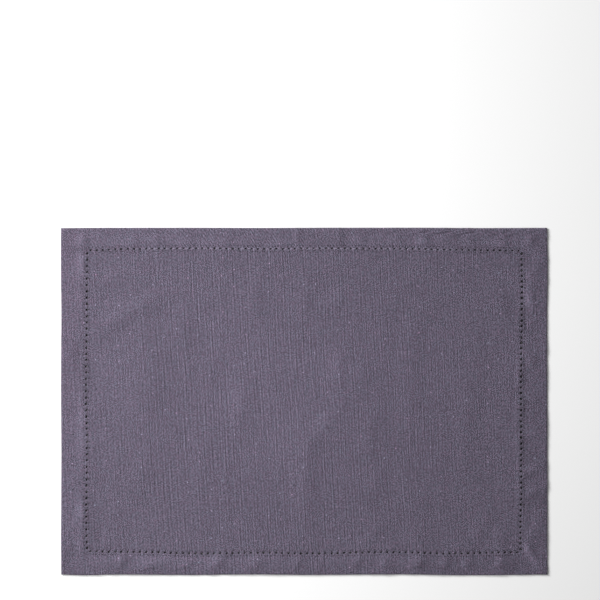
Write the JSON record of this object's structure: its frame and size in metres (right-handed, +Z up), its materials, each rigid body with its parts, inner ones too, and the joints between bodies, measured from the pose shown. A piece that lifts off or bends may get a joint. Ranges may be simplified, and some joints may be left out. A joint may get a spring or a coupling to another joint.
{
  "type": "fabric placemat",
  "caption": "Rectangular woven cloth placemat with a wide mitred hem held by a row of open hemstitch holes, lying flat under a place setting.",
  "frame": {"origin": "on the table, under the middle of the mat", "axes": "+X along the mat to its right end, +Y to its far side, +Z up out of its right side"},
  "size_m": [0.463, 0.3304, 0.002],
  "materials": {
    "cloth": "matte",
    "thread": "matte"
  },
  "bodies": {
    "root": {"placemat": "cloth"}
  },
  "joints": []
}
